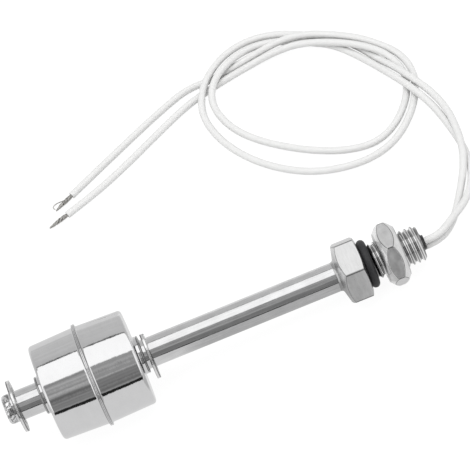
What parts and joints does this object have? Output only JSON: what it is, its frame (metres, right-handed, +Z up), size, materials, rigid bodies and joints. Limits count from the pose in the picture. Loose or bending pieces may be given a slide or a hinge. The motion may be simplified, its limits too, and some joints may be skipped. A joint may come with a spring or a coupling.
{
  "type": "float level switch",
  "caption": "Level switch: a polished steel float slides on a tube between two clips, with a hexagonal threaded mounting head, sealing ring, lock nut and two loose white wires.",
  "frame": {"origin": "middle of the switch's bounding box on the floor it lies on, without the free wires", "axes": "+Z up, +X along the tube towards the threaded end, +Y towards the side where the free wires lie"},
  "size_m": [0.1397, 0.1099, 0.0284],
  "materials": {
    "tube_steel": "fine drawn, semi-bright",
    "turned_steel": "turned, semi-bright",
    "nut_steel": "turned, semi-bright",
    "float_steel": "polished",
    "clip_steel": "bright spring steel",
    "ring_rubber": "matt black",
    "black_resin": "cast, slightly glossy",
    "white_insulation": "smooth, slightly glossy",
    "tinned_copper": "twisted strands",
    "ferrite": "dull, ground",
    "white_plastic": "moulded",
    "clear_glass": "clear",
    "reed_metal": "plated",
    "shrink_plastic": "shrunk, matt",
    "solder": "dull bright"
  },
  "bodies": {
    "stem": {"stem_tube": "tube_steel", "tip_plug": "turned_steel", "mounting_head": "turned_steel", "lower_clip": "clip_steel", "upper_clip": "clip_steel", "seal_ring": "ring_rubber", "reed_glass": "clear_glass", "reed_blade_lower": "reed_metal", "reed_blade_upper": "reed_metal", "reed_sleeve": "shrink_plastic", "solder_joint_lower": "solder", "solder_joint_upper": "solder", "inner_lead_a": "white_insulation", "inner_lead_b": "white_insulation", "potting": "black_resin", "wire_a": "white_insulation", "wire_b": "white_insulation", "wire_a_strands": "tinned_copper", "wire_b_strands": "tinned_copper"},
    "magnet": {"ring_magnet": "ferrite"},
    "float": {"float_lower_shell": "float_steel", "float_upper_shell": "float_steel", "float_sleeve": "float_steel", "magnet_spacer_lower": "white_plastic", "magnet_spacer_upper": "white_plastic"},
    "nut": {"lock_nut": "nut_steel"}
  },
  "joints": [
    {"name": "float_slide", "type": "slide", "parent": "stem", "child": "magnet", "axis": [0.9977, 0, -0.0678], "range_m": [-0.0059, 0.0007]},
    {"name": "float_spin", "type": "hinge", "parent": "magnet", "child": "float", "pos_m": [-0.03445, 0, 0.01419], "axis": [0.9977, 0, -0.0678], "continuous": true},
    {"name": "nut_travel", "type": "slide", "parent": "stem", "child": "nut", "axis": [0.9977, 0, -0.0678], "range_m": [-0.0021, 0.0054]}
  ]
}
